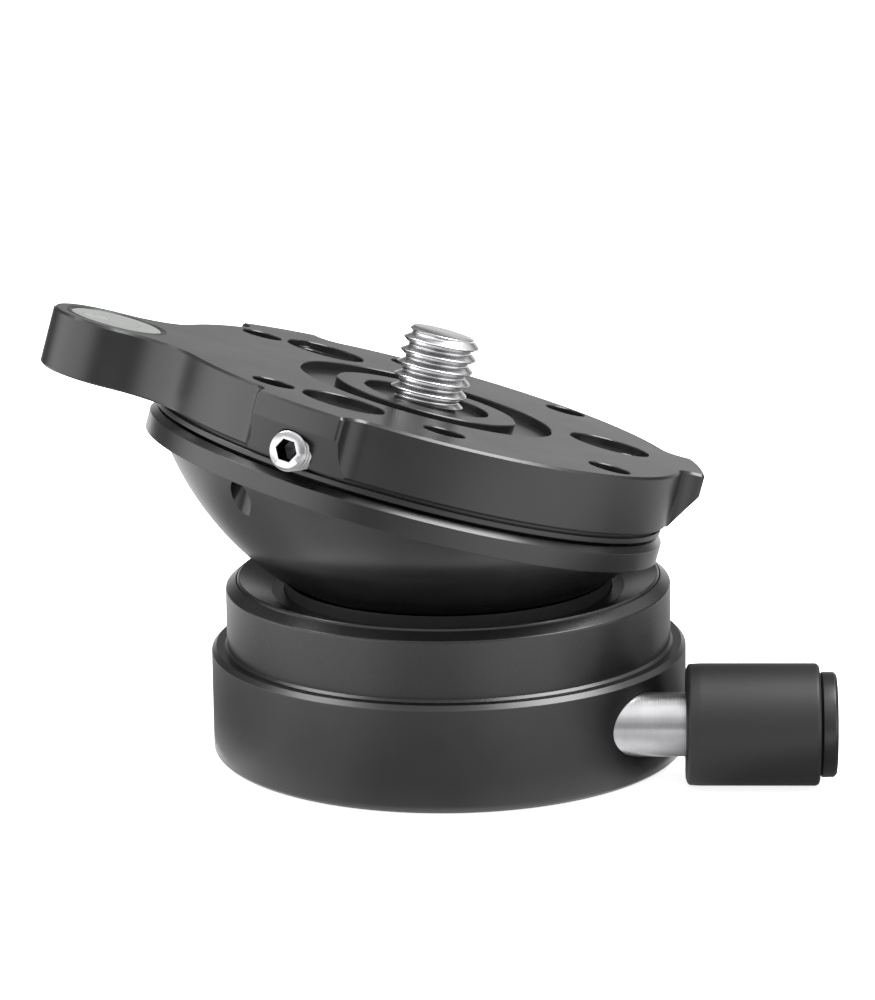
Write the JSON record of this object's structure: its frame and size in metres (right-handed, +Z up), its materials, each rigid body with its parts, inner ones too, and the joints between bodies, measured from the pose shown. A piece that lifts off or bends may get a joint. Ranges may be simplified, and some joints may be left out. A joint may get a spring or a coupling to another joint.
{
  "type": "tripod leveling base",
  "caption": "Tripod leveling base: a half ball leans in a low round base under a drilled top plate with a stud, a bubble level on a lug and a side clamp knob.",
  "frame": {"origin": "centre of the tripod thread's mouth, in the plane of the base's underside", "axes": "+Z up along the base's axis, +X along the clamp screw towards the knob, the knob's axis at negative Y"},
  "size_m": [0.098, 0.0674, 0.0579],
  "materials": {
    "black_anodised": "satin black anodised aluminium",
    "bright_steel": "turned stainless steel",
    "dark_steel": "plain oiled steel",
    "bronze": "plain turned bronze",
    "grip_rubber": "matte black rubber",
    "slide_plastic": "smooth dark bearing plastic",
    "black_plastic": "matte moulded plastic",
    "clear_lens": "clear polished plastic",
    "level_liquid": "pale clear liquid"
  },
  "bodies": {
    "base": {"base_housing": "black_anodised", "socket_ring": "black_anodised", "bottom_cover": "black_anodised", "tripod_bush": "bright_steel", "case_screws": "dark_steel", "disc_spring": "dark_steel"},
    "near_cotter": {"near_cotter": "bright_steel"},
    "far_cotter": {"far_cotter": "dark_steel"},
    "knob": {"clamp_screw": "dark_steel", "thrust_washer": "bronze", "knob_core": "black_anodised", "knob_grip": "grip_rubber", "knob_pin": "dark_steel"},
    "pull_stack": {"pull_bolt": "dark_steel", "clamp_washer": "bronze", "draw_cup": "dark_steel", "lock_nut": "dark_steel"},
    "seat": {"friction_ring": "slide_plastic"},
    "bowl": {"half_bowl": "black_anodised"},
    "plate": {"top_plate": "black_anodised", "mounting_stud": "bright_steel", "stud_nut": "dark_steel", "side_screws": "bright_steel", "lock_screws": "dark_steel", "level_cup": "black_plastic", "level_fluid": "level_liquid", "level_lens": "clear_lens"}
  },
  "joints": [
    {"name": "near_cotter_slide", "type": "slide", "parent": "base", "child": "near_cotter", "axis": [1, 0, 0], "range_m": [0, 0.00018]},
    {"name": "knob_turn", "type": "hinge", "parent": "near_cotter", "child": "knob", "pos_m": [0.0375, -0.0175, 0.0075], "axis": [1, 0, 0], "range_deg": [0, 180]},
    {"name": "far_cotter_slide", "type": "slide", "parent": "base", "child": "far_cotter", "axis": [-1, 0, 0], "range_m": [0, 0.00018]},
    {"name": "pull_slide", "type": "slide", "parent": "base", "child": "pull_stack", "axis": [0, 0, 1], "range_m": [0, 0.00012]},
    {"name": "seat_swivel", "type": "hinge", "parent": "base", "child": "seat", "pos_m": [0, 0, 0.0207], "axis": [0, 0, 1], "continuous": true},
    {"name": "ball_tilt", "type": "hinge", "parent": "seat", "child": "bowl", "pos_m": [0, 0, 0.05325], "axis": [-0.309, 0.9511, 0], "range_deg": [-32.6, 0]},
    {"name": "plate_turn", "type": "hinge", "parent": "bowl", "child": "plate", "pos_m": [-0.00236, -0.00077, 0.04476], "axis": [0.2669, 0.0867, 0.9598], "continuous": true}
  ],
  "couplings": [
    {"joint": "near_cotter_slide", "follows": "pull_slide", "ratio": 1.4583},
    {"joint": "far_cotter_slide", "follows": "pull_slide", "ratio": 1.4583},
    {"joint": "knob_turn", "follows": "pull_slide", "rad_per_m": 26179}
  ]
}
